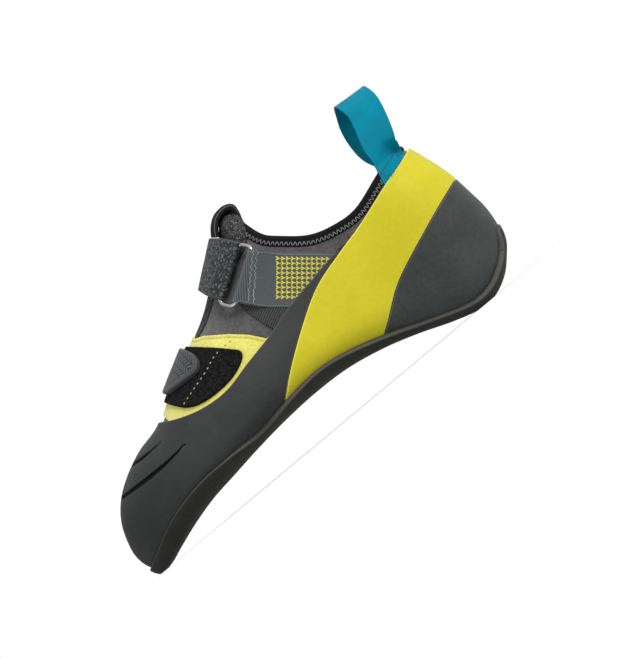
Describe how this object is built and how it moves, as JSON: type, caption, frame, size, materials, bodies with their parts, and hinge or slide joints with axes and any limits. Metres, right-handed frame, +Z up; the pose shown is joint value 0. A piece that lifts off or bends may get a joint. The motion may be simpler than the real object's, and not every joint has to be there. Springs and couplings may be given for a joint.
{
  "type": "climbing shoe",
  "caption": "Left climbing shoe with a downturned rubber sole, closed toe, closing straps over the instep and a ribbon loop at the heel.",
  "frame": {"origin": "middle of the flat spot under the heel, on the floor", "axes": "+Z up, the toe points to -X, the outer side of the foot to -Y"},
  "size_m": [0.25, 0.0916, 0.1263],
  "materials": {
    "sole_rubber": "smooth matte climbing rubber, slightly brownish",
    "rand_rubber": "thin matte rubber, dusty dark grey",
    "heel_rubber": "satin moulded rubber",
    "yellow_rubber": "satin yellow rubber",
    "insole_board": "pale lined board",
    "grey_microsuede": "short nap, warm dark grey",
    "yellow_microsuede": "short nap, light yellow",
    "tongue_knit": "knobbly black elastic knit",
    "black_tape": "black tape with light grey edge",
    "black_binding": "smooth black binding with an overlock row",
    "loop_pile": "black loop pile",
    "strap_rubber": "moulded black strap with a raised texture",
    "black_elastic": "ribbed black elastic",
    "grey_webbing": "woven grey webbing with a yellow chevron pattern",
    "teal_ribbon": "teal satin ribbon",
    "steel_wire": "bright polished wire"
  },
  "bodies": {
    "root": {"outsole": "sole_rubber", "insole": "insole_board", "upper": "grey_microsuede", "tongue": "tongue_knit", "tongue_tab": "black_tape", "toe_rand": "rand_rubber", "tension_band": "yellow_rubber", "heel_cup": "heel_rubber", "collar_binding": "black_binding", "vamp_panel": "yellow_microsuede", "loop_patch": "loop_pile", "lower_strap": "strap_rubber", "side_elastic": "black_elastic", "label_webbing": "grey_webbing", "d_ring": "steel_wire", "upper_strap": "strap_rubber", "pull_loop": "teal_ribbon"}
  },
  "joints": []
}
